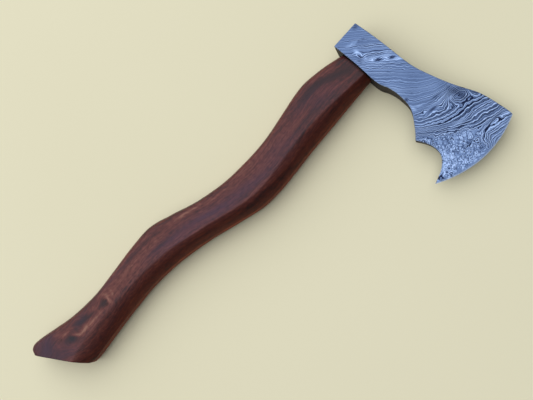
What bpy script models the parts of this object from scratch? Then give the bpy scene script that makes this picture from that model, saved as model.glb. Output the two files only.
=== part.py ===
"""Bearded hatchet: a layered-steel head wedged on a curved hardwood haft.

The hatchet lies on its side, on z = 0. +X runs along the eye, from the butt of the haft to
the top of the head, and -Y points to the cutting edge. The origin is the bottom centre of
the whole hatchet's box. Blender's unit is the metre, and the numbers below are millimetres.
Plan outlines are written as (x, reach): x is measured along the eye from its middle, and
reach from the poll face towards the cutting edge.
"""
import bpy
import bmesh
from math import cos, pi, sin

MM = 0.001
GAP = 0.3                      # between pieces that touch
THICKNESS = 32.0               # of the head at its eye, and of the haft's blank
CREASE_ANGLE = 0.5             # radians; flatter joins between faces are shaded smooth

# Head
HEAD_UPPER = [(14.5, 0), (16.6, 27), (17.8, 55), (19.6, 70), (24, 86), (29.2, 101.5),
              (35, 115), (39.5, 125), (42.6, 136.5), (44.4, 148), (45.3, 156), (45.3, 161.5)]
HEAD_LOWER = [(-14.3, 0), (-13.5, 27), (-13.7, 53), (-10, 66), (-8.7, 78), (-10.8, 92.5),
              (-20.4, 106), (-28.9, 115), (-23, 128), (-23.3, 140), (-32, 149), (-45.9, 154.5)]
NOTCH = 7                      # the point of HEAD_LOWER where the beard starts
EDGE_BULGE = 11.3              # rise of the cutting edge's arc over its chord
EDGE_THICKNESS = 0.6
TAPER_START = 0.24             # share of the head's length where the cheeks start to taper
TAPER_EASE = 0.12              # how slowly the taper sets in
TAPER_POWER = 1.2              # above 1, the cheeks are hollow towards the edge
HEAD_STEPS = 3                 # rings between two outline points
CHEEK_STEPS = 10               # quads across a cheek

# Eye, a rounded slot that widens towards the top of the head
EYE_REACH = 27.2               # of its middle
EYE_LENGTH = 31.0
EYE_WIDTH = 18.0
EYE_FLARE = 2.0                # extra length and width at the top
EYE_SQUARENESS = 3.0           # exponent of its superellipse

# Haft: (x, reach) of its back, (x, reach) of its belly, its thickness, and how far in from
# the belly its flat faces end
HAFT = [(-14.3, 8.8, -14.3, 45.5, 22.5, 7), (-38, 2.8, -38, 46.1, 27.6, 9),
        (-62, 0.4, -66, 47.4, 31, 12.5), (-91, 4.6, -97, 48.8, 32, 14.5),
        (-121, 9.2, -124, 51, 32, 13.5), (-148, 9.8, -148, 52.4, 32, 12.5),
        (-178, 7.7, -170, 51.2, 32, 12.5), (-210, 0.4, -198, 43.8, 32, 12.5),
        (-238, -10, -231, 34.1, 32, 12), (-262, -17.8, -268, 26.6, 32, 12.5),
        (-288, -17.7, -302, 24, 32, 13.5), (-320, -14.7, -332, 25.5, 32, 15.5),
        (-350, -12.7, -360, 28, 32, 17.5), (-382, -15.4, -382, 30.4, 32, 18.5),
        (-409, -21.4, -393, 31.4, 32, 17), (-422, -24.4, -397.5, 31.3, 32, 15.5),
        (-431, -25.2, -400, 31.1, 32, 14), (-436, -22.8, -401, 30.8, 32, 13),
        (-437.7, -18.5, -401.5, 30.4, 32, 12.5)]
HAFT_STEPS = 3
SECTION_POINTS = 20            # round the haft, a multiple of 4
BACK_CORNER = 8.0              # how far in from the back the haft's flat faces end
BACK_DROP = 12.0               # and how far down from them the back's corner reaches
BACK_FULLNESS = 0.9            # 1 for a round corner, 0 for a flat bevel
BELLY_DROP = 11.0
BELLY_FULLNESS = 0.35
DROP_SHARE = 0.8               # most of half the thickness that a corner takes
BUTT_ROUND = 0.8               # rounded edge of the butt's face
TONGUE_TOP = 14.2              # x of the tongue's end, just inside the eye's mouth

# Wedges
KERF_FLOOR = -9.0              # x of the saw kerf's floor
KERF_WIDTH = (1.4, 5.0)        # at its floor and at the tongue's end
CROSS_DEPTH = 11.0             # steel cross wedges
CROSS_WIDTH = 12.0
CROSS_THICKNESS = (0.7, 2.2)   # at the tip and at the head
CROSS_OFFSETS = {"front": 7.0, "rear": -7.0}   # along reach, from the eye's middle


def make_material(name, colour, roughness, metallic):
    material = bpy.data.materials.new(name)
    material.use_nodes = True
    shader = material.node_tree.nodes["Principled BSDF"]
    shader.inputs["Base Color"].default_value = (*colour, 1)
    shader.inputs["Roughness"].default_value = roughness
    shader.inputs["Metallic"].default_value = metallic
    return material


def place(x, reach, height):
    """World coordinates, before the hatchet is centred, of a point given in millimetres."""
    return (x * MM, -reach * MM, (THICKNESS / 2 + height) * MM)


def make_object(name, points, faces, material, frame):
    """A closed piece, with its faces turned outwards and shaded smooth between its creases."""
    mesh = bpy.data.meshes.new(name)
    mesh.from_pydata(points, [], faces)
    surface = bmesh.new()
    surface.from_mesh(mesh)
    bmesh.ops.recalc_face_normals(surface, faces=surface.faces)
    surface.to_mesh(mesh)
    surface.free()
    mesh.materials.append(material)
    mesh.shade_smooth()
    mesh.set_sharp_from_angle(angle=CREASE_ANGLE)
    piece = bpy.data.objects.new(name, mesh)
    piece.parent = frame
    bpy.context.scene.collection.objects.link(piece)
    return piece


def smooth_through(stations, steps, corners=()):
    """Points along a Catmull-Rom curve through the stations, which turns sharply at corners."""
    ends = [0, *corners, len(stations) - 1]
    samples = [stations[0]]
    for first, last in zip(ends, ends[1:]):
        run = stations[first:last + 1]
        for i in range(len(run) - 1):
            before = run[max(i - 1, 0)]
            after = run[min(i + 2, len(run) - 1)]
            for step in range(1, steps + 1):
                samples.append(hermite(before, run[i], run[i + 1], after, step / steps))
    return samples


def hermite(before, start, end, after, t):
    """The point at t from start to end, on the cubic with its neighbours' slopes."""
    point = []
    for a, b, c, d in zip(before, start, end, after):
        slope_in = (c - a) / 2
        slope_out = (d - b) / 2
        bend = 2 * b - 2 * c + slope_in + slope_out
        sag = 3 * c - 3 * b - 2 * slope_in - slope_out
        point.append(((bend * t + sag) * t + slope_in) * t + b)
    return tuple(point)


def skin(rings):
    """Quads between rings of equal size, and a flat face over the first and the last ring."""
    count = len(rings[0])
    points = [point for ring in rings for point in ring]
    faces = [tuple(range(count))[::-1]]
    for row in range(len(rings) - 1):
        start = row * count
        for i in range(count):
            j = (i + 1) % count
            faces.append((start + i, start + j, start + count + j, start + count + i))
    faces.append(tuple(range(len(points) - count, len(points))))
    return points, faces


def make_head(material, frame):
    """Rings from the poll to the cutting edge. Each goes down one cheek and up the other."""
    upper = smooth_through(HEAD_UPPER, HEAD_STEPS)
    lower = smooth_through(HEAD_LOWER, HEAD_STEPS, corners=[NOTCH])
    length = (HEAD_UPPER[-1][1] + HEAD_LOWER[-1][1]) / 2
    rings = []
    for top, bottom in zip(upper, lower):
        share = (top[1] + bottom[1]) / 2 / length
        half = cheek_thickness(share) / 2
        bulge = EDGE_BULGE * max(0, (share - 0.5) / 0.5) ** 2
        cheek = []
        for i in range(CHEEK_STEPS + 1):
            across = i / CHEEK_STEPS
            x = top[0] + (bottom[0] - top[0]) * across
            reach = top[1] + (bottom[1] - top[1]) * across + bulge * 4 * across * (1 - across)
            cheek.append((x, reach))
        ring = [place(x, reach, half) for x, reach in cheek]
        ring += [place(x, reach, -half) for x, reach in reversed(cheek)]
        rings.append(ring)
    points, faces = skin(rings)
    return make_object("axe_head", points, faces, material, frame)


def cheek_thickness(share):
    """Head thickness at a share of its length: flat at the eye, then hollow to the edge."""
    run = max(0, (share - TAPER_START) / (1 - TAPER_START))
    eased = run * run * (1 + TAPER_EASE) / (run + TAPER_EASE)
    return EDGE_THICKNESS + (THICKNESS - EDGE_THICKNESS) * (1 - eased) ** TAPER_POWER


def eye_ring(x, margin):
    """Superellipse of the eye at x, larger by margin all round."""
    flare = EYE_FLARE * (x + TONGUE_TOP) / (2 * TONGUE_TOP)
    half_length = (EYE_LENGTH + flare) / 2 + margin
    half_width = (EYE_WIDTH + flare) / 2 + margin
    ring = []
    for i in range(SECTION_POINTS):
        angle = 2 * pi * (i + 0.5) / SECTION_POINTS
        along = signed_power(cos(angle), 2 / EYE_SQUARENESS)
        up = signed_power(sin(angle), 2 / EYE_SQUARENESS)
        ring.append(place(x, EYE_REACH + along * half_length, up * half_width))
    return ring


def signed_power(value, power):
    return abs(value) ** power * (1 if value >= 0 else -1)


def haft_ring(station, inset=0.0, shift=0.0):
    """Section of the haft from its back to its belly, inset all round, moved along x."""
    back_x, back_reach, belly_x, belly_reach, thickness, belly_corner = station
    width = belly_reach - back_reach
    half_height = min(thickness, THICKNESS) / 2 - inset
    ring = []
    for i in range(SECTION_POINTS):
        angle = 2 * pi * (i + 0.5) / SECTION_POINTS
        side = 1 if cos(angle) > 0 else -1
        face = 1 if sin(angle) > 0 else -1
        corner, drop, fullness = BACK_CORNER, BACK_DROP, BACK_FULLNESS
        if side > 0:
            corner, drop, fullness = belly_corner, BELLY_DROP, BELLY_FULLNESS
        drop = min(drop - inset, DROP_SHARE * half_height)
        inwards, down = corner_point(corner_share(i), corner - inset, drop, fullness)
        share = 0.5 + side * (width / 2 - inset - inwards) / width
        x = back_x + (belly_x - back_x) * share
        ring.append(place(x + shift, back_reach + width * share, face * (half_height - down)))
    return ring


def corner_point(share, inwards, down, fullness):
    """Curve from the end of a flat face, at 0, to the side of the haft, at 1."""
    start = (1 - share) ** 2
    middle = share * (1 - share) * (1 - fullness)
    end = share ** 2
    return inwards * (start + middle), down * (middle + end)


def corner_share(i):
    """How far a section's point is along its corner, from its flat face to its side."""
    per_corner = SECTION_POINTS // 4
    corner, step = divmod(i, per_corner)
    share = step / (per_corner - 1)
    if corner % 2:
        return share
    return 1 - share


def make_haft(material, frame):
    """Rings from the butt to the shoulder under the head, then the tongue in the eye."""
    stations = smooth_through(HAFT, HAFT_STEPS)
    shoulder = stations[0]
    shoulder = (shoulder[0] - GAP, shoulder[1], shoulder[2] - GAP, *shoulder[3:])
    rings = [haft_ring(stations[-1], BUTT_ROUND, -BUTT_ROUND)]
    rings += [haft_ring(station) for station in reversed(stations[1:])]
    rings.append(haft_ring(shoulder))
    rings.append(eye_ring(shoulder[0], -GAP))
    rings.append(eye_ring(TONGUE_TOP, -GAP))
    points, faces = skin(rings)
    return make_object("haft", points, faces, material, frame)


def make_wedge(name, material, frame, reach, tip, head):
    """A wedge along x, centred at reach. Its ends are (x, half its length, half its height)."""
    rings = []
    for x, half_length, half_height in (tip, head):
        corners = ((-1, -1), (1, -1), (1, 1), (-1, 1))
        rings.append([place(x, reach + a * half_length, b * half_height) for a, b in corners])
    points, faces = skin(rings)
    return make_object(name, points, faces, material, frame)


def cut(piece, cutter):
    modifier = piece.modifiers.new(cutter.name, "BOOLEAN")
    modifier.operation = "DIFFERENCE"
    modifier.object = cutter
    cutter.hide_render = True
    cutter.display_type = "WIRE"


def make_eye_cutter(material, frame):
    """The eye's rounded slot, run out past both faces of the head."""
    run_out = 6.0
    rings = [eye_ring(-TONGUE_TOP - run_out, 0), eye_ring(TONGUE_TOP + run_out, 0)]
    points, faces = skin(rings)
    return make_object("eye_cutter", points, faces, material, frame)


def make_kerf_wedge(haft, material, frame):
    """The hardwood wedge, and the saw kerf that it fills right across the tongue."""
    run_out = 1.0
    floor_width, mouth_width = KERF_WIDTH
    half_length = EYE_LENGTH / 2
    kerf = make_wedge("kerf_cutter", material, frame, EYE_REACH,
                      (KERF_FLOOR, half_length + 3, floor_width / 2),
                      (TONGUE_TOP + run_out, half_length + 3, mouth_width / 2))
    cut(haft, kerf)
    return make_wedge("kerf_wedge", material, frame, EYE_REACH,
                      (KERF_FLOOR + GAP, half_length - 3 * GAP, floor_width / 2 - GAP),
                      (TONGUE_TOP, half_length, mouth_width / 2 - GAP))


def make_cross_wedge(side, woods, material, frame):
    """A steel wedge across the kerf wedge, and its slots in the wooden pieces round it."""
    run_out = 1.0
    reach = EYE_REACH + CROSS_OFFSETS[side]
    tip_half, head_half = (thickness / 2 for thickness in CROSS_THICKNESS)
    tip_x = TONGUE_TOP - CROSS_DEPTH
    half_height = CROSS_WIDTH / 2
    slot = make_wedge(f"cross_cutter_{side}", material, frame, reach,
                      (tip_x - GAP, tip_half + GAP, half_height + GAP),
                      (TONGUE_TOP + run_out, head_half + 2 * GAP, half_height + GAP))
    for wood in woods:
        cut(wood, slot)
    return make_wedge(f"cross_wedge_{side}", material, frame, reach,
                      (tip_x, tip_half, half_height), (TONGUE_TOP, head_half, half_height))


def centre_on_origin(pieces, frame):
    """Move the frame so that the origin is the bottom centre of the box round the pieces."""
    points = [vertex.co for piece in pieces for vertex in piece.data.vertices]
    for axis in (0, 1):
        low = min(point[axis] for point in points)
        high = max(point[axis] for point in points)
        frame.location[axis] = -(low + high) / 2
    frame.location[2] = -min(point[2] for point in points)


def main():
    for thing in list(bpy.data.objects):
        bpy.data.objects.remove(thing)
    layered_steel = make_material("layered_steel", (0.16, 0.21, 0.36), 0.38, 1.0)
    dark_hardwood = make_material("dark_hardwood", (0.09, 0.036, 0.026), 0.45, 0.0)
    pale_hardwood = make_material("pale_hardwood", (0.42, 0.25, 0.12), 0.6, 0.0)
    mild_steel = make_material("mild_steel", (0.42, 0.42, 0.43), 0.4, 1.0)

    frame = bpy.data.objects.new("hatchet_frame", None)
    bpy.context.scene.collection.objects.link(frame)
    head = make_head(layered_steel, frame)
    cut(head, make_eye_cutter(layered_steel, frame))
    haft = make_haft(dark_hardwood, frame)
    kerf_wedge = make_kerf_wedge(haft, pale_hardwood, frame)
    for side in CROSS_OFFSETS:
        make_cross_wedge(side, (haft, kerf_wedge), mild_steel, frame)
    centre_on_origin((head, haft), frame)


main()
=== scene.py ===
"""Looks of the bearded hatchet: a pattern-welded steel head on a curved rosewood haft.

Design coordinates are those of the CAD part, in millimetres: x runs along the eye from its
middle, reach from the poll face towards the cutting edge, and height from the middle of the
thickness. place() turns them into the frame's metres.
"""
from math import atan2, cos, pi, radians, sin

import bmesh
import bpy
import numpy as np
from mathutils import Matrix, Vector, noise


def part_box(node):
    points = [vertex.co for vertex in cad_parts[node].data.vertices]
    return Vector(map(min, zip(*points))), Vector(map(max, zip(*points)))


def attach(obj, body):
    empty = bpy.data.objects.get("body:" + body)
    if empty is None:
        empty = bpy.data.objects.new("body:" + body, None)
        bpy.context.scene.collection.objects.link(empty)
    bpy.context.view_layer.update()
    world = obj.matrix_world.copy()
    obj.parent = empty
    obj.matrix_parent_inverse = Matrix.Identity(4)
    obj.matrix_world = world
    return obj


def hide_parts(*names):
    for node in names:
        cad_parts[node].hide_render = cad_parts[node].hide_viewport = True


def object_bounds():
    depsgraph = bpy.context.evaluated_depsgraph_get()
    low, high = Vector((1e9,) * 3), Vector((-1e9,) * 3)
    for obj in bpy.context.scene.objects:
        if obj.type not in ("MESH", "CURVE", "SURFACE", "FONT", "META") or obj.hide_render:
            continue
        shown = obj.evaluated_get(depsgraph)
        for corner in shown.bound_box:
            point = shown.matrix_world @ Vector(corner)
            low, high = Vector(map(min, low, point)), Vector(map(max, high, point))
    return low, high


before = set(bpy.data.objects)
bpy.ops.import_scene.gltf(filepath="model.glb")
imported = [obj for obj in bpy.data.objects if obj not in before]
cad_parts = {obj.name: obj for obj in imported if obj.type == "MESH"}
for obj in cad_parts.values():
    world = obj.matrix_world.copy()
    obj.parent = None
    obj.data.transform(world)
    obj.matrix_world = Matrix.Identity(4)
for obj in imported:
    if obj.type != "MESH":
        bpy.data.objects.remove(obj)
cad_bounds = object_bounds()

MM = 0.001
GAP = 0.3                      # between pieces that touch
THICKNESS = 32.0

# Outlines, as in the CAD part: (x, reach) along the head's two sides
HEAD_UPPER = [(14.5, 0), (16.6, 27), (17.8, 55), (19.6, 70), (24, 86), (29.2, 101.5),
              (35, 115), (39.5, 125), (42.6, 136.5), (44.4, 148), (45.3, 156), (45.3, 161.5)]
HEAD_LOWER = [(-14.3, 0), (-13.5, 27), (-13.7, 53), (-10, 66), (-8.7, 78), (-10.8, 92.5),
              (-20.4, 106), (-28.9, 115), (-23, 128), (-23.3, 140), (-32, 149), (-45.9, 154.5)]
NOTCH = 7                      # the point of HEAD_LOWER where the beard starts
EDGE_BULGE = 11.3              # rise of the cutting edge's arc over its chord
EDGE_THICKNESS = 0.6
TAPER_START = 0.24             # share of the head's length where the cheeks start to taper
TAPER_EASE = 0.12              # rounds the start of the taper
TAPER_POWER = 1.2              # above 1, the cheeks are hollow towards the edge
HEAD_STEPS = 18                # rings between two outline points
CHEEK_STEPS = 96               # quads across a cheek
WALL_STEPS = 12                # quads through the head's thickness
CHAMFER = 0.7                  # broken edge between cheek and wall
CHAMFER_LIMIT = 0.45           # its largest share of half the thickness
CHAMFER_STEPS = 3
POLL_CROWN = 0.5               # how far the poll's middle stands above its rim
POLL_RINGS = 6
POLL_FACE = 0.94               # share of the poll that the crowned rings reach
POLL_SHIFT = POLL_CROWN + CHAMFER   # how far the first outline ring moves to make room
POLL_BLEND = 6.0               # reach from which the rings keep their places
BEVEL_WIDTH = 2.4              # sharpened bevel along the cutting edge
BEVEL_THICKNESS = 0.16
EDGE_POINTS = 400              # of the line that distances to the cutting edge start from
HEAD_CREASE = 28               # degrees between faces from which an edge is shaded sharp

# Eye
EYE_REACH = 27.2
EYE_LENGTH = 31.0              # at the lower mouth
EYE_WIDTH = 18.0
EYE_FLARE = 2.0                # how much larger the upper mouth is, each way
EYE_SQUARENESS = 3.0           # 2 is an ellipse, and a larger number is squarer
EYE_LIP = 0.6                  # broken edge of the eye's mouths
EYE_STEPS = 96
EYE_RUN_OUT = 4.0              # how far the eye's cutter stands out of the head

# Haft: (x, reach) of its back, (x, reach) of its belly, its thickness, and how far in from
# the belly its flat faces end
HAFT = [(-14.3, 8.8, -14.3, 45.5, 22.5, 7), (-38, 2.8, -38, 46.1, 27.6, 9),
        (-62, 0.4, -66, 47.4, 31, 12.5), (-91, 4.6, -97, 48.8, 32, 14.5),
        (-121, 9.2, -124, 51, 32, 13.5), (-148, 9.8, -148, 52.4, 32, 12.5),
        (-178, 7.7, -170, 51.2, 32, 12.5), (-210, 0.4, -198, 43.8, 32, 12.5),
        (-238, -10, -231, 34.1, 32, 12), (-262, -17.8, -268, 26.6, 32, 12.5),
        (-288, -17.7, -302, 24, 32, 13.5), (-320, -14.7, -332, 25.5, 32, 15.5),
        (-350, -12.7, -360, 28, 32, 17.5), (-382, -15.4, -382, 30.4, 32, 18.5),
        (-409, -21.4, -393, 31.4, 32, 17), (-422, -24.4, -397.5, 31.3, 32, 15.5),
        (-431, -25.2, -400, 31.1, 32, 14), (-436, -22.8, -401, 30.8, 32, 13),
        (-437.7, -18.5, -401.5, 30.4, 32, 12.5)]
HAFT_STEPS = 12                # rings between two stations
FACE_STEPS = 26                # quads across a flat face of the haft
CORNER_STEPS = 12              # round a corner
SIDE_STEPS = 4                 # down a side
BACK_CORNER = 8.0              # how far in from the back the flat faces end
BACK_DROP = 12.0               # how far down from a flat face the back's corner runs
BACK_FULLNESS = 0.9            # 0 is a flat facet, and 1 is a full curve
BELLY_DROP = 11.0
BELLY_FULLNESS = 0.35
DROP_SHARE = 0.8               # largest drop, as a share of half the thickness
BUTT_ROUND = 0.8
BUTT_STEPS = 5
CREASE_WOBBLE = 0.7            # of the hand-cut crease along the belly
CREASE_WAVES = (21.0, 8.0)     # lengths of its slow waves and of its quick ones
CARVING = 0.16                 # depth of the shallow hollows that the tools left
CARVING_MEAN = 0.75            # how far below the outline they lie on average, as its share
HOLLOWS = [(17, 9, 1.0), (6, 5, 0.5)]   # their lengths, widths and shares of the depth
TONGUE_TOP = 14.2
TONGUE_STEPS = 8
HAFT_CREASE = 38

# Wedges, with widths and thicknesses at the tip and at the head
KERF_FLOOR = -9.0              # where the kerf ends in the haft
KERF_WIDTH = (1.4, 5.0)
KERF_ROUNDING = 0.25
KERF_OVERRUN = 3.0             # how far its cutter passes each end of the tongue
CROSS_DEPTH = 11.0
CROSS_WIDTH = 12.0
CROSS_THICKNESS = (0.7, 2.2)
CROSS_OFFSETS = {"front": 7.0, "rear": -7.0}
CROSS_ROUNDING = 0.22
WEDGE_STEPS = 8
WEDGE_RUN_OUT = 1.0            # how far a wedge's cutter stands out of the tongue
WEDGE_CREASE = 30

ORIGIN = Vector((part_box("kerf_wedge")[1].x - TONGUE_TOP * MM,
                 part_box("axe_head")[1].y,
                 (cad_bounds[0].z + cad_bounds[1].z) / 2))


def place(x, reach, height):
    """A point in the frame, in metres, from design coordinates in millimetres."""
    return (ORIGIN.x + x * MM, ORIGIN.y - reach * MM, ORIGIN.z + height * MM)


def design(points):
    """Design coordinates x, reach and height, as three arrays, of points in the frame."""
    points = (np.asarray(points) - np.array(ORIGIN)) / MM
    return points[:, 0], -points[:, 1], points[:, 2]


# ---------------------------------------------------------------- curves and lofts

def hermite(before, start, end, after, t):
    """A point of the Catmull-Rom curve from start, at 0, to end, at 1."""
    point = []
    for a, b, c, d in zip(before, start, end, after):
        slope_in = (c - a) / 2
        slope_out = (d - b) / 2
        bend = 2 * b - 2 * c + slope_in + slope_out
        sag = 3 * c - 3 * b - 2 * slope_in - slope_out
        point.append(((bend * t + sag) * t + slope_in) * t + b)
    return tuple(point)


def smooth_through(stations, steps, corners=()):
    """Points along a Catmull-Rom curve through the stations, which turns sharply at corners."""
    ends = [0, *corners, len(stations) - 1]
    samples = [stations[0]]
    for first, last in zip(ends, ends[1:]):
        run = stations[first:last + 1]
        for i in range(len(run) - 1):
            before = run[max(i - 1, 0)]
            after = run[min(i + 2, len(run) - 1)]
            for step in range(1, steps + 1):
                samples.append(hermite(before, run[i], run[i + 1], after, step / steps))
    return samples


def skin(rings):
    """Quads between rings of equal size, and one flat face over each end."""
    count = len(rings[0])
    points = [point for ring in rings for point in ring]
    faces = [tuple(range(count))[::-1]]
    for row in range(len(rings) - 1):
        start = row * count
        for i in range(count):
            j = (i + 1) % count
            faces.append((start + i, start + j, start + count + j, start + count + i))
    faces.append(tuple(range(len(points) - count, len(points))))
    return points, faces


def shrunk(ring, share, towards):
    """The ring drawn in towards a point."""
    return [tuple(t + (p - t) * share for p, t in zip(point, towards)) for point in ring]


def middle(ring):
    """The mean of the ring's points."""
    return tuple(sum(axis) / len(ring) for axis in zip(*ring))


# ---------------------------------------------------------------- pieces

def show(thing):
    bpy.context.scene.collection.objects.link(thing)


def make_mesh(name, points, faces, crease):
    """An object of the faces, shaded smooth up to the crease's angle in degrees."""
    mesh = bpy.data.meshes.new(name)
    mesh.from_pydata(points, [], faces)
    surface = bmesh.new()
    surface.from_mesh(mesh)
    bmesh.ops.recalc_face_normals(surface, faces=surface.faces)
    surface.to_mesh(mesh)
    surface.free()
    mesh.shade_smooth()
    mesh.set_sharp_from_angle(angle=radians(crease))
    thing = bpy.data.objects.new(name, mesh)
    show(thing)
    return thing


def cut_away(thing, cutters, crease):
    """Subtract the cutters, apply the result, and remove them."""
    for cutter in cutters:
        modifier = thing.modifiers.new(cutter.name, "BOOLEAN")
        modifier.operation = "DIFFERENCE"
        modifier.solver = "EXACT"
        modifier.object = cutter
    depsgraph = bpy.context.evaluated_depsgraph_get()
    mesh = bpy.data.meshes.new_from_object(thing.evaluated_get(depsgraph))
    thing.modifiers.clear()
    spare = thing.data
    thing.data = mesh
    bpy.data.meshes.remove(spare)
    mesh.name = thing.name
    for cutter in cutters:
        bpy.data.objects.remove(cutter)
    mesh.set_sharp_from_angle(angle=radians(crease))


def finish_piece(thing, material, node):
    """Keep the piece in its CAD node's box, set its material and body, and hide the CAD node."""
    low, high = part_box(node)
    for vertex in thing.data.vertices:
        vertex.co = [min(max(c, a), b) for c, a, b in zip(vertex.co, low, high)]
    thing.data.materials.clear()
    thing.data.materials.append(material)
    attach(thing, "root")
    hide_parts(node)
    return thing


def store(mesh, name, values):
    """Keep a number for each vertex, which the materials read by its name."""
    attribute = mesh.attributes.new(name, "FLOAT", "POINT")
    attribute.data.foreach_set("value", np.asarray(values, np.float32))


def vertex_points(mesh):
    points = np.zeros(len(mesh.vertices) * 3, np.float32)
    mesh.vertices.foreach_get("co", points)
    return points.reshape(-1, 3).astype(float)


def vertex_normals(mesh):
    normals = np.zeros(len(mesh.vertices) * 3, np.float32)
    mesh.vertex_normals.foreach_get("vector", normals)
    return normals.reshape(-1, 3)


# ---------------------------------------------------------------- head

def cheek_thickness(share):
    """Thickness of the head at a share of its length from the poll."""
    run = max(0, (share - TAPER_START) / (1 - TAPER_START))
    eased = run * run * (1 + TAPER_EASE) / (run + TAPER_EASE)
    return EDGE_THICKNESS + (THICKNESS - EDGE_THICKNESS) * (1 - eased) ** TAPER_POWER


def head_length():
    return (HEAD_UPPER[-1][1] + HEAD_LOWER[-1][1]) / 2


def across_head(top, bottom, across, share):
    """(x, reach) at a share of the way from the upper outline to the lower one."""
    bulge = EDGE_BULGE * max(0, (share - 0.5) / 0.5) ** 2
    x = top[0] + (bottom[0] - top[0]) * across
    reach = top[1] + (bottom[1] - top[1]) * across + bulge * 4 * across * (1 - across)
    return x, reach


def edge_distance(x, reach):
    """Distance of each point from the cutting edge."""
    near = np.full(len(x), np.inf)
    for i in range(EDGE_POINTS + 1):
        at_x, at_reach = across_head(HEAD_UPPER[-1], HEAD_LOWER[-1], i / EDGE_POINTS, 1.0)
        near = np.minimum(near, np.hypot(x - at_x, reach - at_reach))
    return near


def head_ring(top, bottom, share):
    """Down one cheek, round the lower wall, up the other cheek, round the upper wall."""
    half = cheek_thickness(share) / 2
    length = np.hypot(top[0] - bottom[0], top[1] - bottom[1])
    chamfer = min(CHAMFER, CHAMFER_LIMIT * half)
    inset = chamfer / length
    rounding = []
    for i in range(CHAMFER_STEPS + 1):
        angle = pi / 2 * i / CHAMFER_STEPS
        rounding.append((inset * (1 - sin(angle)), half - chamfer * (1 - cos(angle))))
    cheek = [(inset + (1 - 2 * inset) * i / CHEEK_STEPS, half) for i in range(1, CHEEK_STEPS)]
    wall = [half - chamfer - 2 * (half - chamfer) * i / WALL_STEPS for i in range(1, WALL_STEPS)]
    loop = cheek + [(1 - a, h) for a, h in rounding]
    loop += [(1, h) for h in wall]
    loop += [(1 - a, -h) for a, h in reversed(rounding)]
    loop += [(1 - a, -h) for a, h in cheek]
    loop += [(a, -h) for a, h in rounding]
    loop += [(0, -h) for h in wall]
    loop += [(a, h) for a, h in reversed(rounding)]
    ring = []
    for across, height in loop:
        x, reach = across_head(top, bottom, across, share)
        ring.append((x, reach, height))
    return ring


def sharpen(ring):
    """Thin the ring where it lies in the bevel along the cutting edge."""
    x, reach, height = (np.array(axis) for axis in zip(*ring))
    near = edge_distance(x, reach)
    full = abs(height).max()
    if full == 0 or near.min() > BEVEL_WIDTH:
        return ring
    start = cheek_thickness(1 - BEVEL_WIDTH / head_length()) / 2
    limit = BEVEL_THICKNESS / 2 + (start - BEVEL_THICKNESS / 2) * near / BEVEL_WIDTH
    scale = np.minimum(1, limit / full)
    return list(zip(x, reach, height * scale))


def head_rings():
    upper = smooth_through(HEAD_UPPER, HEAD_STEPS)
    lower = smooth_through(HEAD_LOWER, HEAD_STEPS, corners=[NOTCH])
    rings = []
    for top, bottom in zip(upper, lower):
        share = (top[1] + bottom[1]) / 2 / head_length()
        rings.append(sharpen(head_ring(top, bottom, share)))
    return rings


def poll_rings(rim):
    """Rings from the poll's crowned middle out to the chamfer round its rim."""
    centre = middle(rim)
    rings = []
    for i in range(1, POLL_RINGS + 1):
        share = i / (POLL_RINGS + 1)
        crown = (1 - share ** 2) * POLL_CROWN
        inner = shrunk(rim, share * POLL_FACE, centre)
        rings.append([(x, POLL_CROWN - crown, h) for x, _, h in inner])
    for i in range(CHAMFER_STEPS):
        angle = pi / 2 * i / CHAMFER_STEPS
        inset = CHAMFER * (1 - sin(angle))
        inner = shrunk(rim, 1 - inset / (THICKNESS / 2), centre)
        reach = POLL_CROWN + CHAMFER * (1 - cos(angle))
        rings.append([(x, reach, h) for x, _, h in inner])
    return rings


def eye_point(x, direction, margin):
    """(reach, height) of the eye's superellipse at x, in a direction from its middle."""
    flare = EYE_FLARE * (x + TONGUE_TOP) / (2 * TONGUE_TOP)
    half_length = (EYE_LENGTH + flare) / 2 + margin
    half_width = (EYE_WIDTH + flare) / 2 + margin
    power = EYE_SQUARENESS
    size = (abs(cos(direction) / half_length) ** power
            + abs(sin(direction) / half_width) ** power) ** (-1 / power)
    return EYE_REACH + size * cos(direction), size * sin(direction)


def outline_x(outline, reach):
    """Where an outline of the head is at a reach."""
    return float(np.interp(reach, [p[1] for p in outline], [p[0] for p in outline]))


def make_eye_cutter():
    """The eye, with a broken edge at each mouth, run out past the head."""
    rings = []
    for outline, side in ((HEAD_LOWER, -1), (HEAD_UPPER, 1)):
        pair = []
        for margin, beyond in ((EYE_LIP + EYE_RUN_OUT, EYE_RUN_OUT), (0, -EYE_LIP)):
            ring = []
            for i in range(EYE_STEPS):
                direction = 2 * pi * (i + 0.5) / EYE_STEPS
                inner_reach, _ = eye_point(side * TONGUE_TOP, direction, 0)
                x = outline_x(outline, inner_reach) + side * beyond
                reach, height = eye_point(side * TONGUE_TOP, direction, margin)
                ring.append(place(x, reach, height))
            pair.append(ring)
        rings += pair if side < 0 else pair[::-1]
    return make_mesh("eye_cutter", *skin(rings), HEAD_CREASE)


def edge_strip(count, end):
    """Faces along the cutting edge: they close the last ring, whose count points are the
    last of end points. Quads join its two cheeks, with one larger face at each tip."""
    tip = WALL_STEPS // 2 + 1
    fold = count - (CHAMFER_STEPS + 1) - WALL_STEPS // 2

    def at(step):
        """The point that is so many steps from the middle of the upper wall."""
        return end - count + (fold + step) % count

    half = count // 2
    faces = [tuple(at(step) for step in range(-tip, tip + 1))]
    for step in range(tip, half - tip):
        faces.append((at(step), at(step + 1), at(-step - 1), at(-step)))
    faces.append(tuple(at(step) for step in range(half - tip, half + tip + 1)))
    return faces


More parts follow.
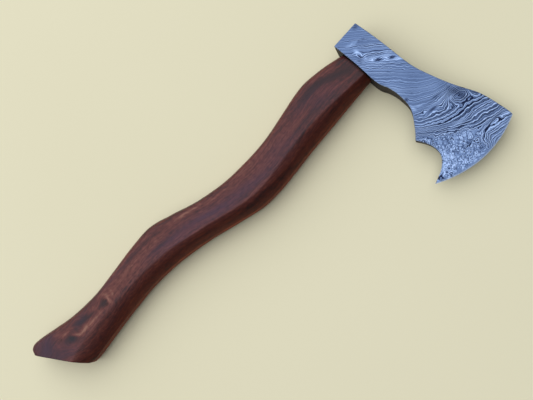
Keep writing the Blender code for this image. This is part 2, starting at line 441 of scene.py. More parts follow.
def make_head():
    rings = head_rings()
    rings = poll_rings(rings[0]) + [
        [(x, reach + POLL_SHIFT * max(0, 1 - reach / POLL_BLEND), h) for x, reach, h in ring]
        for ring in rings]
    points, faces = skin([[place(*point) for point in ring] for ring in rings])
    faces = faces[:-1] + edge_strip(len(rings[-1]), len(points))
    head = make_mesh("axe_head_skin", points, faces, HEAD_CREASE)
    cut_away(head, [make_eye_cutter()], HEAD_CREASE)
    return head


# ---------------------------------------------------------------- haft

def corner_point(share, inwards, down, fullness):
    """Curve from the end of a flat face, at 0, to the side of the haft, at 1."""
    start = (1 - share) ** 2
    between = share * (1 - share) * (1 - fullness)
    end = share ** 2
    return inwards * (start + between), down * (between + end)


def haft_section(station, inset):
    """(distance from the middle towards the belly, height) round the section."""
    _, back_reach, belly_x, belly_reach, thickness, belly_corner = station
    half_width = (belly_reach - back_reach) / 2 - inset
    half_height = min(thickness, THICKNESS) / 2 - inset
    slow, quick = (belly_x / wave for wave in CREASE_WAVES)
    wobble = noise.noise(Vector((slow, 3.7, 0))) + noise.noise(Vector((quick, 9, 0))) / 3
    belly = belly_corner + CREASE_WOBBLE * wobble - inset
    drops = [min(drop - inset, DROP_SHARE * half_height) for drop in (BACK_DROP, BELLY_DROP)]

    def corner(side, share):
        if side < 0:
            inwards, down = corner_point(share, BACK_CORNER - inset, drops[0], BACK_FULLNESS)
        else:
            inwards, down = corner_point(share, belly, drops[1], BELLY_FULLNESS)
        return side * (half_width - inwards), half_height - down

    def side_heights(top):
        return [top * (1 - 2 * i / SIDE_STEPS) for i in range(1, SIDE_STEPS)]

    steps = [i / CORNER_STEPS for i in range(CORNER_STEPS + 1)]
    belly_points = [corner(1, share) for share in steps]
    back_points = [corner(-1, share) for share in steps]
    start, end = back_points[0][0], belly_points[0][0]
    half = [(start + (end - start) * i / FACE_STEPS, half_height) for i in range(1, FACE_STEPS)]
    half += belly_points
    loop = list(half)
    loop += [(half_width, h) for h in side_heights(belly_points[-1][1])]
    loop += [(a, -h) for a, h in reversed(half)]
    loop += [(a, -h) for a, h in back_points]
    loop += [(-half_width, -h) for h in side_heights(back_points[-1][1])]
    loop += back_points[::-1]
    return loop


def haft_ring(station, inset=0.0, shift=0.0):
    """The section at a station, drawn in by an inset and shifted along x."""
    back_x, back_reach, belly_x, belly_reach = station[:4]
    width = belly_reach - back_reach
    ring = []
    for along, height in haft_section(station, inset):
        share = 0.5 + along / width
        x = back_x + (belly_x - back_x) * share + shift
        ring.append((x, back_reach + width * share, height))
    return ring


def carve(ring):
    """Press shallow hollows into the ring, towards its middle."""
    centre = middle(ring)
    carved = []
    for x, reach, height in ring:
        depth = CARVING_MEAN
        for length, width, share in HOLLOWS:
            depth += share * noise.noise(Vector((x / length, reach / width, height / width)))
        inwards = Vector((0, centre[1] - reach, -height)).normalized()
        move = inwards * CARVING * depth
        carved.append((x, reach + move.y, height + move.z))
    return carved


def tongue_ring(shoulder_ring, x):
    """Section of the tongue at x, with a point for each point of the shoulder's ring."""
    ring = []
    for _, reach, height in shoulder_ring:
        direction = atan2(height, reach - EYE_REACH)
        eye_reach, eye_height = eye_point(x, direction, -GAP)
        ring.append((x, eye_reach, eye_height))
    return ring


def butt_rings(station):
    """From the middle of the butt's face out over its rounded edge."""
    flat = haft_ring(station, BUTT_ROUND, -BUTT_ROUND)
    centre = middle(flat)
    rings = [shrunk(flat, i / (BUTT_STEPS + 1), centre) for i in range(1, BUTT_STEPS + 1)]
    for i in range(BUTT_STEPS):
        angle = pi / 2 * i / BUTT_STEPS
        rings.append(haft_ring(station, BUTT_ROUND * (1 - sin(angle)), -BUTT_ROUND * cos(angle)))
    return rings


def make_haft():
    stations = smooth_through(HAFT, HAFT_STEPS)
    first = stations[0]
    shoulder = (first[0] - GAP, first[1], first[2] - GAP, *first[3:])
    rings = butt_rings(stations[-1])
    rings += [haft_ring(station) for station in reversed(stations[1:])]
    rings = [carve(ring) for ring in rings]
    end = carve(haft_ring(shoulder))
    rings.append(end)
    for i in range(TONGUE_STEPS + 1):
        x = shoulder[0] + (TONGUE_TOP - shoulder[0]) * i / TONGUE_STEPS
        rings.append(tongue_ring(end, x))
    rings = [[place(*point) for point in ring] for ring in rings]
    haft = make_mesh("haft_skin", *skin(rings), HAFT_CREASE)
    cutters = [make_kerf_cutter()] + [make_slot_cutter(side) for side in CROSS_OFFSETS]
    cut_away(haft, cutters, HAFT_CREASE)
    return haft


# ---------------------------------------------------------------- wedges

def box_ring(x, reach, half_length, half_height, rounding=0.0):
    """A rectangle square to x, with its corners cut off by rounding."""
    a, b = half_length, half_height
    corners = [(a, b), (-a, b), (-a, -b), (a, -b)]
    if rounding > 0:
        c, d = a - rounding, b - rounding
        corners = [(c, b), (-c, b), (-a, d), (-a, -d), (-c, -b), (c, -b), (a, -d), (a, d)]
    return [place(x, reach + along, height) for along, height in corners]


def make_kerf_cutter():
    half_length = EYE_LENGTH / 2 + KERF_OVERRUN
    top = TONGUE_TOP + WEDGE_RUN_OUT
    rings = [box_ring(KERF_FLOOR, EYE_REACH, half_length, KERF_WIDTH[0] / 2),
             box_ring(top, EYE_REACH, half_length, KERF_WIDTH[1] / 2)]
    return make_mesh("kerf_cutter", *skin(rings), WEDGE_CREASE)


def make_slot_cutter(side):
    reach = EYE_REACH + CROSS_OFFSETS[side]
    top = TONGUE_TOP + WEDGE_RUN_OUT
    tip_half, head_half = (thickness / 2 for thickness in CROSS_THICKNESS)
    half_height = CROSS_WIDTH / 2 + GAP
    rings = [box_ring(TONGUE_TOP - CROSS_DEPTH - GAP, reach, tip_half + GAP, half_height),
             box_ring(top, reach, head_half + 2 * GAP, half_height)]
    return make_mesh(f"slot_cutter_{side}", *skin(rings), WEDGE_CREASE)


def wedge_rings(reach, tip, head, rounding):
    """Rings of a driven wedge, from its tip to its slightly crowned head. Tip and head are
    each a place along x, a half length and a half height."""
    rings = []
    for i in range(WEDGE_STEPS + 1):
        share = i / WEDGE_STEPS
        x, length, height = (a + (b - a) * share for a, b in zip(tip, head))
        if i == 0:
            rings.append(box_ring(x, reach, length - rounding, height - rounding, rounding / 3))
            x += rounding
        if i == WEDGE_STEPS:
            x -= rounding
        rings.append(box_ring(x, reach, length, height, rounding))
    x, length, height = head
    rings.append(box_ring(x - rounding * 0.3, reach, length - rounding * 0.3,
                          height - rounding * 0.3, rounding))
    rings.append(box_ring(x, reach, length - rounding, height - rounding, rounding * 0.7))
    return rings


def make_kerf_wedge():
    half_length = EYE_LENGTH / 2
    rings = wedge_rings(EYE_REACH,
                        (KERF_FLOOR + GAP, half_length - 3 * GAP, KERF_WIDTH[0] / 2 - GAP),
                        (TONGUE_TOP, half_length, KERF_WIDTH[1] / 2 - GAP), KERF_ROUNDING)
    wedge = make_mesh("kerf_wedge_skin", *skin(rings), WEDGE_CREASE)
    cut_away(wedge, [make_slot_cutter(side) for side in CROSS_OFFSETS], WEDGE_CREASE)
    return wedge


def make_cross_wedge(side):
    rings = wedge_rings(EYE_REACH + CROSS_OFFSETS[side],
                        (TONGUE_TOP - CROSS_DEPTH, CROSS_THICKNESS[0] / 2, CROSS_WIDTH / 2),
                        (TONGUE_TOP, CROSS_THICKNESS[1] / 2, CROSS_WIDTH / 2), CROSS_ROUNDING)
    return make_mesh(f"cross_wedge_{side}_skin", *skin(rings), WEDGE_CREASE)


# ---------------------------------------------------------------- patterns held by the meshes

# Bumps in the steel's layers: x, reach, half length, half width, turn of the length from x
# towards reach in degrees, and how many millimetres of layers they push up
SWIRLS = [(2, 107, 7.5, 3, 10, 2.4), (-4, 102, 3.5, 2, 10, 2.8), (-6, 28, 4.2, 3.2, 45, -4.2),
          (2.6, 40.6, 4.4, 2.3, 36, -2), (12.4, 48.4, 4.4, 2.3, 36, -2),
          (9, 44, 4.5, 2.2, 45, 2.4), (-5, 21, 2.6, 3.2, 0, 2.4), (27, 113, 7, 3, 74, -3),
          (31, 118, 3.6, 2.8, 30, 3.2), (22, 114, 3.4, 2.2, 0, 2.8), (31, 154, 9, 2.2, 4, 4),
          (14, 103, 6, 2.2, 10, 1.8), (1, 36, 3, 2, 45, 2), (16, 54, 5, 2.2, 45, 2),
          (-7, 84, 2.2, 2.2, 0, 2.4), (3, 66, 12, 4, 50, 1.2), (-16, 112, 8, 3, 40, -1.6)]
# Patches of the steel that the etch left darker or paler: as above, with a change in tone
STEEL_TONES = [(2.6, 40.6, 4.2, 1.5, 36, -1.3), (12.4, 48.4, 3.4, 1.3, 36, -1.25),
               (2.6, 40.6, 6.4, 2.8, 36, 0.6), (12.4, 48.4, 5.4, 2.6, 36, 0.55),
               (9, 44, 3.6, 2, 45, 0.24), (15.5, 54, 4.5, 1.5, 45, 0.36),
               (0, 36.5, 3.4, 1.6, 45, 0.34), (13, 42, 3.5, 1.3, 45, 0.26),
               (7, 36, 4, 1, 45, -0.24), (-5, 21, 2, 3, 0, 0.6),
               (-6.5, 26.5, 1.5, 1.5, 0, -0.2), (-9.5, 29, 1.3, 2.2, 0, -0.2),
               (-4, 31, 1.5, 2, 0, 0.28), (-2, 12.5, 6, 1.3, 22, 0.34),
               (4, 15.5, 6, 0.9, 22, -0.24), (12, 3, 3, 2, 0, -0.24),
               (-7.5, 84, 1.7, 1.6, 0, -0.4), (-9, 94, 1.5, 3, 0, 0.3),
               (-4, 96, 3, 1, 35, 0.3), (27.4, 113, 9, 3.4, 74, -0.46),
               (20, 111.5, 4, 1.4, 10, 0.34), (34, 114, 5, 2.2, 55, -0.34),
               (12, 101.5, 4, 1.1, 10, -0.3), (2, 107, 5.6, 1.5, 10, -0.85),
               (2, 107, 8.6, 3.2, 10, 0.8), (2, 107, 11, 5, 10, -0.35),
               (26, 131, 14, 1.1, 9, -0.26), (12, 137, 13, 1.2, 9, -0.32),
               (6, 132, 9, 1.1, 9, 0.26), (18, 140, 12, 1, 9, 0.2),
               (20, 146.5, 12, 1.2, 6, -0.28), (33, 153, 8, 1.1, 3, -0.4),
               (23, 154, 5, 1.2, 0, -0.4), (29, 157, 9, 1.4, 4, 0.16),
               (8, 146, 6, 3.2, 0, 0.26), (2, 152.5, 2.6, 1.5, 0, -0.42),
               (-16, 132, 3.4, 2.6, 0, 0.24), (-31, 150, 4, 2.4, 20, 0.34),
               (-27, 153, 1.6, 1.3, 0, -0.2), (-37, 156.5, 2, 1.4, 20, -0.25),
               (-3, 140, 4, 2.6, 20, 0.2), (-12, 147, 3, 2.4, 0, -0.2),
               (14, 124, 26, 12, 8, -0.12), (2, 12, 20, 14, 0, -0.03),
               (-8, 70, 6, 14, 0, 0.05), (-14, 148, 16, 14, 0, 0.1),
               (2, 74, 22, 26, 0, 0.03), (-22, 118, 8, 5, 40, -0.08)]
# Patches where few lines show: as above, with the share of the lines that is lost
PLAIN_PATCHES = [(2.6, 40.6, 4.6, 2, 36, 0.9), (12.4, 48.4, 4, 1.8, 36, 0.9),
                 (-5, 21, 2.2, 2.6, 0, 0.7), (2, 107, 8, 3, 10, 0.85)]
PLAIN_LIMIT = 0.85             # largest share that is lost anywhere
# A second patch of the bird's-eye figure, and the part of the head with the swirls at the
# poll: as above, with how strong they are
BIRDSEYE_PATCH = [(27, 115, 9, 6, 20, 0.6)]
SWIRLED_PATCH = [(4, 38, 17, 20, 45, 1)]
BIRDSEYE_LAYER = 146.0         # the layer that the bird's-eye figure lies round
BIRDSEYE_FLATNESS = 0.88       # how nearly the surface follows that layer there
LAYERS_THROUGH = 1.3           # layers crossed in 1 mm of the head's thickness


def patches(table, x, reach):
    """Sum of soft elliptical patches at each point."""
    total = np.zeros(len(x))
    for at_x, at_reach, half_length, half_width, turn, amount in table:
        turned = radians(turn)
        along = (x - at_x) * cos(turned) + (reach - at_reach) * sin(turned)
        beside = (reach - at_reach) * cos(turned) - (x - at_x) * sin(turned)
        total += amount * np.exp(-(along / half_length) ** 2 - (beside / half_width) ** 2)
    return total


def smoothstep(low, high, value):
    share = np.clip((value - low) / (high - low), 0, 1)
    return share * share * (3 - 2 * share)


def lie_of_layers(x, reach, birdseye):
    """Which layer each point cuts: slanting lines at the poll, which turn across the bit and
    droop towards the beard, with the swirls, and nearly flat in the bird's-eye figure."""
    slant = 1 - 0.8 * smoothstep(78, 112, reach)
    droop = np.logaddexp(0, (-6 - x) / 5) * 5
    layers = reach - slant * x + (1 - slant) * droop * 0.9 + patches(SWIRLS, x, reach)
    return BIRDSEYE_LAYER + (layers - BIRDSEYE_LAYER) * (1 - BIRDSEYE_FLATNESS * birdseye)


def strength_of_lines(x, reach, near, birdseye):
    """How strongly the layers show: weak at the poll and neck, strong across the bit."""
    strong = 0.69 * smoothstep(96, 112, reach)
    swirled = 0.5 * patches(SWIRLED_PATCH, x, reach)
    shown = np.clip(0.31 + strong + swirled, 0, 1) - 0.1 * birdseye
    shown *= 0.55 + 0.45 * smoothstep(2, 6, near)
    return shown * (1 - np.minimum(PLAIN_LIMIT, patches(PLAIN_PATCHES, x, reach)))


def store_head_pattern(mesh):
    """The steel's layers and figure, and where its walls, rims and cutting edge are."""
    x, reach, height = design(vertex_points(mesh))
    near = edge_distance(x, reach)
    birdseye = smoothstep(122, 140, reach - 0.75 * x) * (1 - smoothstep(6, 20, x))
    birdseye = np.maximum(birdseye, patches(BIRDSEYE_PATCH, x, reach))
    near_side = smoothstep(0, 4, height + 4)
    flat = abs(vertex_normals(mesh)[:, 2])
    store(mesh, "layers", lie_of_layers(x, reach, birdseye) + LAYERS_THROUGH * height)
    store(mesh, "shown", strength_of_lines(x, reach, near, birdseye))
    store(mesh, "birdseye", birdseye)
    store(mesh, "tone", patches(STEEL_TONES, x, reach) * near_side)
    store(mesh, "wall", 1 - smoothstep(0.12, 0.45, flat))
    store(mesh, "rim", 1 - abs(2 * smoothstep(0.3, 0.96, flat) - 1))
    store(mesh, "edge", near)


# Patches of the wood, as for the steel: first where it is paler or darker
WOOD_TONES = [(-394, 3, 8.5, 5.5, 25, -1.25), (-376, -2, 12, 3.4, 8, -1.1),
              (-388.5, 3, 4.5, 1.4, 42, 1.2), (-377, 6, 9, 1.9, 4, 1), (-362, 6.5, 7, 1.1, 4, 0.5),
              (-397, -6, 6, 1.2, 8, 0.6), (-385, -3.5, 5, 1.3, 30, 0.6),
              (-402, -12, 5, 3, -20, 0.5), (-346, 2.5, 6, 3.6, 0, -0.85),
              (-339.5, 3, 1.3, 5.5, 0, 0.95), (-334, 3.5, 4.5, 1.1, -30, 0.5),
              (-352, -5, 6, 3, 10, -0.4), (-362, 1, 12, 1.2, 4, -0.4),
              (-300, 4, 45, 6, 0, 0.26), (-290, -8, 38, 1.4, 0, -0.36),
              (-300, -3, 36, 1, 2, 0.22), (-216, 6, 24, 1.5, 18, 0.6),
              (-235, 1, 12, 1.6, 20, 0.34), (-265, 6, 18, 3, 8, -0.22),
              (-165, 15.5, 36, 4.5, 2, 0.36), (-62, 12, 14, 5, 0, -0.34),
              (-34, 20, 18, 4, 22, -0.6), (-35, 13, 16, 1.6, 15, 0.26),
              (-45, 26, 16, 2, 20, 0.26), (-95, 28, 30, 2.4, -4, -0.3),
              (-18, 28, 10, 20, 0, -0.34), (-55, 22, 45, 14, 0, -0.22),
              (-424, -14, 12, 12, 0, -0.36), (-418, 2, 12, 12, 0, -0.3)]
# then where a violet sheen is painted on: a painted reflection of bluish light on the oiled top
PAINTED_SHEENS = [(-422, -12, 14, 16, 0, 1), (-405, 8, 16, 8, 0, 0.6), (-376, -3, 10, 4, 0, 0.7),
          (-250, 13, 30, 6, 15, 0.9), (-208, 22, 30, 6, 22, 1), (-165, 30, 30, 6, 12, 0.9),
          (-120, 28, 26, 8, 0, 0.7), (-60, 22, 24, 9, 10, 0.6), (-320, -9, 30, 3, 0, 0.4)]
# and the knots: x, reach, radius
KNOTS = [(-394, 2, 7), (-343, 4, 4.5), (-379, -3, 4.5)]
KNOT_STRETCH = 1.5             # along the haft
GRAIN_BEND = 0.85              # how far the grain follows the haft's curve


def haft_middle(x):
    """Reach of the haft's middle line at each x."""
    stations = sorted(((s[0] + s[2]) / 2, (s[1] + s[3]) / 2) for s in HAFT)
    return np.interp(x, [s[0] for s in stations], [s[1] for s in stations])


def store_haft_pattern(mesh):
    """The grain's own coordinate across the haft, its patches of tone and of painted sheen, and
    the belly's flank, which gets painted shade.
    """
    x, reach, height = design(vertex_points(mesh))
    across = reach - GRAIN_BEND * haft_middle(x)
    for at_x, at_reach, radius in KNOTS:
        away = ((x - at_x) / KNOT_STRETCH) ** 2 + (reach - at_reach) ** 2
        across -= (reach - at_reach) * radius ** 2 / (away + 0.5 * radius ** 2)
    near_side = 0.35 + 0.65 * smoothstep(-4, 8, height)
    store(mesh, "grain_across", across)
    store(mesh, "tone", patches(WOOD_TONES, x, reach) * near_side)
    store(mesh, "painted_sheen", patches(PAINTED_SHEENS, x, reach) * near_side)
    store(mesh, "wild", smoothstep(-330, -365, x))
    # Mask of the belly's flank, where painted shade and a painted warm glow go
    normal_x, normal_y, normal_z = vertex_normals(mesh).T
    belly = smoothstep(0.05, 0.3, -normal_y) * (1 - smoothstep(0.5, 0.75, -normal_x))
    store(mesh, "shaded_flank", (1 - abs(normal_z)) * belly)


# ---------------------------------------------------------------- materials

class Nodes:
    """Short names for the nodes of one material."""

    def __init__(self, name):
        self.material = bpy.data.materials.new(name)
        self.material.use_nodes = True
        self.tree = self.material.node_tree
        self.shader = self.tree.nodes["Principled BSDF"]

    def put(self, socket, value):
        if isinstance(value, bpy.types.NodeSocket):
            self.tree.links.new(value, socket)
        elif value is not None:
            socket.default_value = value

    def math(self, operation, a, b=None, c=None):
        node = self.tree.nodes.new("ShaderNodeMath")
        node.operation = operation
        for socket, value in zip(node.inputs, (a, b, c)):
            self.put(socket, value)
        return node.outputs[0]

    def centred(self, value):
        return self.math("SUBTRACT", value, 0.5)

    def scaled(self, vector, scale):
        node = self.tree.nodes.new("ShaderNodeVectorMath")
        node.operation = "MULTIPLY"
        self.put(node.inputs[0], vector)
        self.put(node.inputs[1], scale)
        return node.outputs[0]

    def length(self, vector):
        node = self.tree.nodes.new("ShaderNodeVectorMath")
        node.operation = "LENGTH"
        self.put(node.inputs[0], vector)
        return node.outputs["Value"]

    def object_point(self, scale=(1 / MM, 1 / MM, 1 / MM)):
        """Object coordinates, in millimetres unless another scale is given."""
        node = self.tree.nodes.new("ShaderNodeTexCoord")
        return self.scaled(node.outputs["Object"], scale)

    def attribute(self, name):
        node = self.tree.nodes.new("ShaderNodeAttribute")
        node.attribute_name = name
        return node.outputs["Fac"]

    def join(self, x, y, z):
        node = self.tree.nodes.new("ShaderNodeCombineXYZ")
        for socket, value in zip(node.inputs, (x, y, z)):
            self.put(socket, value)
        return node.outputs[0]

    def split(self, vector):
        node = self.tree.nodes.new("ShaderNodeSeparateXYZ")
        self.put(node.inputs[0], vector)
        return node.outputs

    def stretched(self, x, y, z, lengths):
        """The point x, y, z measured in steps of the three lengths."""
        steps = [self.math("MULTIPLY", a, 1 / length) for a, length in zip((x, y, z), lengths)]
        return self.join(*steps)

    def noise(self, point, scale=1.0, detail=2.0, roughness=0.5, line=False):
        """Noise over a point, or along a line if line is set."""
        node = self.tree.nodes.new("ShaderNodeTexNoise")
        node.noise_dimensions = "1D" if line else "3D"
        self.put(node.inputs["W" if line else "Vector"], point)
        node.inputs["Scale"].default_value = scale
        node.inputs["Detail"].default_value = detail
        node.inputs["Roughness"].default_value = roughness
        return node.outputs[0]

    def ramp(self, value, stops):
        """Colour along stops of (position, colour)."""
        node = self.tree.nodes.new("ShaderNodeValToRGB")
        elements = node.color_ramp.elements
        while len(elements) < len(stops):
            elements.new(0.5)
        for element, (position, colour) in zip(elements, stops):
            element.position = position
            element.color = (*colour, 1)
        self.put(node.inputs[0], value)
        return node.outputs[0]

    def span(self, value, low, high, to_low=0.0, to_high=1.0):
        """The value carried from one range to another, and held at its ends."""
        node = self.tree.nodes.new("ShaderNodeMapRange")
        for socket, number in zip(node.inputs, (value, low, high, to_low, to_high)):
            self.put(socket, number)
        return node.outputs[0]

    def mix(self, share, a, b, blend="MIX"):
        node = self.tree.nodes.new("ShaderNodeMix")
        node.data_type = "RGBA"
        node.blend_type = blend
        sockets = [s for s in node.inputs if s.type == "RGBA"]
        self.put(node.inputs[0], share)
        for socket, colour in zip(sockets, (a, b)):
            self.put(socket, (*colour, 1) if isinstance(colour, tuple) else colour)
        return next(s for s in node.outputs if s.type == "RGBA")

    def bump(self, height, distance, strength):
        node = self.tree.nodes.new("ShaderNodeBump")
        node.inputs["Strength"].default_value = strength
        node.inputs["Distance"].default_value = distance
        self.put(node.inputs["Height"], height)
        return node.outputs[0]

    def camera_ray(self):
        """1 where the camera looks straight at the surface, and 0 for reflections and light."""
        return self.tree.nodes.new("ShaderNodeLightPath").outputs["Is Camera Ray"]

    def set(self, **values):
        """Sockets of the shader, by their names in lower case with _ for a space."""
        sockets = {socket.name.lower().replace(" ", "_"): socket for socket in self.shader.inputs}
        for name, value in values.items():
            if isinstance(value, tuple) and len(value) == 3:
                value = (*value, 1)
            self.put(sockets[name], value)
        return self.material


# Slow, middle and quick wander of the layers: length of its waves in mm, how many layers it
# moves, and how many more it moves in the bird's-eye figure
WANDERS = [(15, 4.0, 2.0), (4.2, 2.4, 5.4), (2, 0.6, 0.8)]


def layered_steel():
    """Etched pattern-welded steel: bright and dark layers cut through by the surface."""
    n = Nodes("layered_steel_etched")
    point = n.object_point()
    layers = n.attribute("layers")
    birdseye = n.attribute("birdseye")
    for wave, amount, figured in WANDERS:
        size = n.math("MULTIPLY_ADD", birdseye, figured, amount)
        layers = n.math("MULTIPLY_ADD", n.centred(n.noise(point, 1 / wave, 1.0)), size, layers)

    fine = n.noise(n.math("DIVIDE", layers, 0.70), 1.0, 0.0, line=True)
    broad = n.noise(n.math("DIVIDE", layers, 1.15), 1.0, 1.0, line=True)
    lines = n.math("MULTIPLY_ADD", broad, 0.44, n.math("MULTIPLY", fine, 0.56))
    contrast = n.math("MULTIPLY", n.attribute("shown"), 4.4)
    value = n.math("MULTIPLY_ADD", n.centred(lines), contrast, 0.5)
    cloud = n.noise(point, 1 / 22, 2.0)
    value = n.math("MULTIPLY_ADD", n.centred(cloud), 0.25, value)
    value = n.math("ADD", value, n.attribute("tone"))
    # The ramp's blue cast is partly the steel's own colour and partly a painted reflection of
    # bluish light
    colour = n.ramp(value, [(0.00, (0.014, 0.019, 0.050)), (0.30, (0.064, 0.094, 0.185)),
                            (0.50, (0.115, 0.167, 0.305)), (0.72, (0.185, 0.260, 0.440)),
                            (1.00, (0.340, 0.440, 0.670))])

    # The ground bevel is calmer and greyer, and brightest at the edge itself
    edge = n.attribute("edge")
    bevel = n.span(edge, BEVEL_WIDTH * 0.8, BEVEL_WIDTH * 1.05, 1.0, 0.0)
    off_bevel = n.math("SUBTRACT", 1.0, bevel)
    colour = n.mix(n.math("MULTIPLY", bevel, 0.3), colour, (0.180, 0.240, 0.390))
    colour = n.mix(n.span(edge, 0.4, 1.3, 0.5, 0.0), colour, (0.40, 0.47, 0.60))

    # The walls are darkened and browned, with a mottled stain: painted shade and a painted warm
    # reflection. The rims round the cheeks are brightened: a painted highlight
    stain = n.noise(point, 1 / 6, 3.0, 0.6)
    wall = n.math("MULTIPLY", n.attribute("wall"), off_bevel)
    wall_shade = n.ramp(stain, [(0.35, (0.16, 0.080, 0.045)), (0.55, (0.26, 0.15, 0.090)),
                            (0.70, (0.38, 0.25, 0.16))])
    colour = n.mix(wall, colour, n.mix(1.0, colour, wall_shade, "MULTIPLY"))
    # Painted highlight along the cheeks' rims, made patchy by the stain noise
    rim_highlight = n.math("MULTIPLY", n.attribute("rim"), n.span(stain, 0.3, 0.5, 0.3, 0.9))
    rim_highlight = n.math("MULTIPLY", rim_highlight, off_bevel)
    colour = n.mix(rim_highlight, colour, (0.60, 0.66, 0.74))

    # The dark layers are etched deeper and rougher
    grit = n.noise(point, 2.2, 2.0, 0.6)
    rough = n.span(value, 0.1, 0.9, 0.52, 0.34)
    rough = n.math("MULTIPLY_ADD", wall, 0.18, rough)
    rough = n.math("MULTIPLY_ADD", n.centred(grit), 0.12, rough)
    relief = n.math("MULTIPLY_ADD", grit, n.span(wall, 0.0, 1.0, 0.15, 0.9), value)
    return n.set(base_color=colour, metallic=1.0, roughness=rough,
                 normal=n.bump(relief, 0.05 * MM, 0.6))


def rosewood():
    """Oiled dark rosewood, with its grain along the haft and round the knots."""
    n = Nodes("dark_hardwood_oiled")
    x, _, z = n.split(n.object_point())
    across = n.attribute("grain_across")
    slow = n.noise(n.stretched(x, across, z, (45, 14, 20)))
    swing = n.math("MULTIPLY_ADD", n.attribute("wild"), 16.0, 9.0)
    across = n.math("MULTIPLY_ADD", n.centred(slow), swing, across)

    def streaks(lengths, detail, roughness):
        return n.noise(n.stretched(x, across, z, lengths), 1.0, detail, roughness)

    broad = streaks((90, 7.5, 12), 2.0, 0.55)
    bands = streaks((40, 2.1, 4), 3.0, 0.6)
    ripple = streaks((4.6, 2.2, 2.6), 2.0, 0.62)
    fibre = streaks((14, 0.6, 0.8), 2.0, 0.6)
    pores = streaks((6, 0.5, 0.5), 1.0, 0.55)
    figure = n.math("MULTIPLY_ADD", bands, 0.40, n.math("MULTIPLY", broad, 0.36))
    figure = n.math("MULTIPLY_ADD", ripple, 0.34, n.math("SUBTRACT", figure, 0.05))
    torn = n.math("MULTIPLY_ADD", bands, 0.5, n.math("MULTIPLY", ripple, 0.5))
    tone = n.math("MULTIPLY", n.attribute("tone"), n.span(torn, 0.35, 0.6, 0.6, 1.3))
    figure = n.math("MULTIPLY_ADD", tone, 0.26, figure)
    colour = n.ramp(figure, [(0.24, (0.010, 0.005, 0.008)), (0.38, (0.044, 0.010, 0.011)),
                             (0.50, (0.104, 0.022, 0.019)), (0.62, (0.160, 0.044, 0.033)),
                             (0.80, (0.270, 0.115, 0.080))])
    # Painted violet sheen: a reflection of bluish light painted into the colour
    painted_sheen = n.math("MULTIPLY", n.attribute("painted_sheen"), n.span(broad, 0.3, 0.7, 0.9, 0.4))
    colour = n.mix(n.math("MULTIPLY", painted_sheen, 0.75), colour, (0.066, 0.026, 0.054))
    shade = n.span(fibre, 0.3, 0.7, 0.76, 1.20)
    colour = n.mix(1.0, colour, n.join(shade, shade, shade), "MULTIPLY")

    # Down the belly's flank the colour is darkened and turns orange-brown at its foot: painted
    # shade, with a painted warm glow of light bounced from the floor
    shaded_flank = n.attribute("shaded_flank")
    shadow = n.ramp(shaded_flank, [(0.01, (1.0, 1.0, 1.0)), (0.09, (0.72, 0.58, 0.46)),
                            (0.22, (0.44, 0.24, 0.10)), (0.60, (0.74, 0.36, 0.10)),
                            (0.95, (1.60, 0.95, 0.25))])
    colour = n.mix(1.0, colour, shadow, "MULTIPLY")
    pore = n.span(pores, 0.64, 0.74)
    colour = n.mix(n.math("MULTIPLY", pore, 0.5), colour, (0.010, 0.005, 0.005))
    rough = n.span(figure, 0.35, 0.7, 0.36, 0.46)
    rough = n.math("MULTIPLY_ADD", pore, 0.15, rough)
    rough = n.math("MULTIPLY_ADD", shaded_flank, 0.3, rough)
    relief = n.math("MULTIPLY_ADD", pore, -0.8, n.math("MULTIPLY", fibre, 0.5))
    return n.set(base_color=colour, roughness=rough, specular_ior_level=0.28,
                 normal=n.bump(relief, 0.06 * MM, 0.5))


def wedge_wood():
    """Dry pale hardwood, mostly seen on its end grain."""
    n = Nodes("pale_hardwood_sawn")
    x, y, z = n.split(n.object_point())
    rings = n.noise(n.stretched(x, y, z, (18, 1.6, 1.2)), 1.0, 3.0, 0.6)
    speck = n.noise(n.stretched(x, y, z, (4, 1 / 3, 1 / 3)), 1.0, 1.0)
    colour = n.ramp(rings, [(0.35, (0.26, 0.14, 0.062)), (0.5, (0.40, 0.235, 0.11)),
                            (0.66, (0.52, 0.33, 0.17))])
    colour = n.mix(n.span(speck, 0.6, 0.7, 0.0, 0.6), colour, (0.15, 0.075, 0.035))
    return n.set(base_color=colour, roughness=n.span(rings, 0.3, 0.7, 0.55, 0.7),
                 normal=n.bump(speck, 0.08 * MM, 0.5))


def wedge_steel():
    """Mild steel that a hammer has struck: grey, with dents, scratches and a little rust."""
    n = Nodes("mild_steel_struck")
    point = n.object_point()
    dents = n.noise(point, 1.1)
    scratch = n.noise(n.scaled(point, (0.4, 1.0, 9.0)))
    rust = n.span(n.noise(point, 0.8, 4.0, 0.65), 0.56, 0.70)
    colour = n.ramp(scratch, [(0.3, (0.28, 0.285, 0.30)), (0.7, (0.46, 0.465, 0.48))])
    colour = n.mix(n.math("MULTIPLY", rust, 0.6), colour, (0.16, 0.065, 0.03))
    relief = n.math("MULTIPLY_ADD", scratch, 0.2, dents)
    return n.set(base_color=colour, metallic=n.math("SUBTRACT", 1.0, rust),
                 roughness=n.span(dents, 0.3, 0.7, 0.32, 0.5),
                 normal=n.bump(relief, 0.12 * MM, 0.6))


# ---------------------------------------------------------------- object

def build_hatchet():
    head = finish_piece(make_head(), layered_steel(), "axe_head")
    store_head_pattern(head.data)
    haft = finish_piece(make_haft(), rosewood(), "haft")
    store_haft_pattern(haft.data)
    finish_piece(make_kerf_wedge(), wedge_wood(), "kerf_wedge")
    struck = wedge_steel()
    for side in CROSS_OFFSETS:
        finish_piece(make_cross_wedge(side), struck, f"cross_wedge_{side}")


# ---------------------------------------------------------------- studio

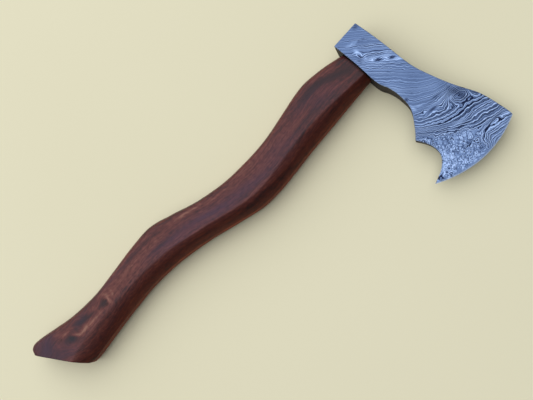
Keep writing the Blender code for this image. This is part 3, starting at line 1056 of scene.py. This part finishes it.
# Places and sizes in metres. The backdrop is the studio's own brightness far from the hatchet,
# where the softbox no longer reaches
FLOOR_RADIUS = 12.0
BACKDROP = (0.745, 0.708, 0.527)
BACKDROP_START = 1.5           # from the middle of the floor
BACKDROP_END = 6.5
BACKDROP_SHARE = 0.92          # of its brightness that the far floor adds to the softbox's
AMBIENT = (0.86, 0.90, 1.0)
AMBIENT_STRENGTH = 0.2
SOFTBOX_PLACE = (-0.12, 1.0, 2.2)
SOFTBOX_SIZE = 6.0
SOFTBOX_POWER = 130            # watts
SOFTBOX_COLOUR = (0.90, 0.96, 1.0)
CAMERA_PLACE = (0.1002, -0.1331, 0.6649)
CAMERA_FORWARD = (-0.10023, 0.23313, -0.96727)
CAMERA_UP = (0.73219, 0.67553, 0.08695)
SENSOR_WIDTH = 36.0            # these two in millimetres
FOCAL_LENGTH = 47.28


def make_floor():
    """A wide plain floor of a warm off-white, which stays pale in the distance."""
    surface = bmesh.new()
    bmesh.ops.create_circle(surface, cap_ends=True, segments=96, radius=FLOOR_RADIUS)
    mesh = bpy.data.meshes.new("studio_floor")
    surface.to_mesh(mesh)
    surface.free()
    n = Nodes("studio_floor_matt")
    metres = n.object_point((1, 1, 1))
    colour = n.ramp(n.noise(metres, 2.0), [(0.3, (0.80, 0.72, 0.50)), (0.7, (0.82, 0.74, 0.52))])
    far = n.span(n.length(metres), BACKDROP_START, BACKDROP_END, 0.0, BACKDROP_SHARE)
    glow = n.math("MULTIPLY", far, n.camera_ray())
    mesh.materials.append(n.set(base_color=colour, roughness=0.9, specular_ior_level=0.2,
                                emission_color=BACKDROP, emission_strength=glow))
    floor = bpy.data.objects.new("studio_floor", mesh)
    show(floor)


def make_softbox():
    """One large soft light behind the hatchet and above it, aimed at the middle."""
    data = bpy.data.lights.new("key_softbox", "AREA")
    data.shape = "DISK"
    data.size = SOFTBOX_SIZE
    data.energy = SOFTBOX_POWER
    data.color = SOFTBOX_COLOUR
    light = bpy.data.objects.new("key_softbox", data)
    light.visible_camera = False
    light.location = SOFTBOX_PLACE
    light.rotation_euler = (-Vector(SOFTBOX_PLACE)).to_track_quat("-Z", "Y").to_euler()
    show(light)


def make_world():
    """Weak bluish light from all round. The camera sees the backdrop in its place."""
    world = bpy.data.worlds.new("studio")
    world.use_nodes = True
    nodes, links = world.node_tree.nodes, world.node_tree.links
    ambient = nodes["Background"]
    ambient.inputs["Color"].default_value = (*AMBIENT, 1)
    ambient.inputs["Strength"].default_value = AMBIENT_STRENGTH
    backdrop = nodes.new("ShaderNodeBackground")
    backdrop.inputs["Color"].default_value = (*BACKDROP, 1)
    pick = nodes.new("ShaderNodeMixShader")
    links.new(nodes.new("ShaderNodeLightPath").outputs["Is Camera Ray"], pick.inputs[0])
    links.new(ambient.outputs[0], pick.inputs[1])
    links.new(backdrop.outputs[0], pick.inputs[2])
    links.new(pick.outputs[0], nodes["World Output"].inputs["Surface"])
    bpy.context.scene.world = world


def make_camera():
    """Above the haft, leaning towards the belly side, with the head at the upper right."""
    data = bpy.data.cameras.new("camera")
    data.sensor_width = SENSOR_WIDTH
    data.lens = FOCAL_LENGTH
    data.dof.use_dof = False
    camera = bpy.data.objects.new("camera", data)
    show(camera)
    forward = Vector(CAMERA_FORWARD).normalized()
    right = forward.cross(Vector(CAMERA_UP).normalized()).normalized()
    up = right.cross(forward)
    turn = Matrix((right, up, -forward)).transposed()
    camera.matrix_world = Matrix.Translation(CAMERA_PLACE) @ turn.to_4x4()
    bpy.context.scene.camera = camera


build_hatchet()
make_floor()
make_world()
make_softbox()
make_camera()
bpy.context.scene.view_settings.view_transform = "Standard"
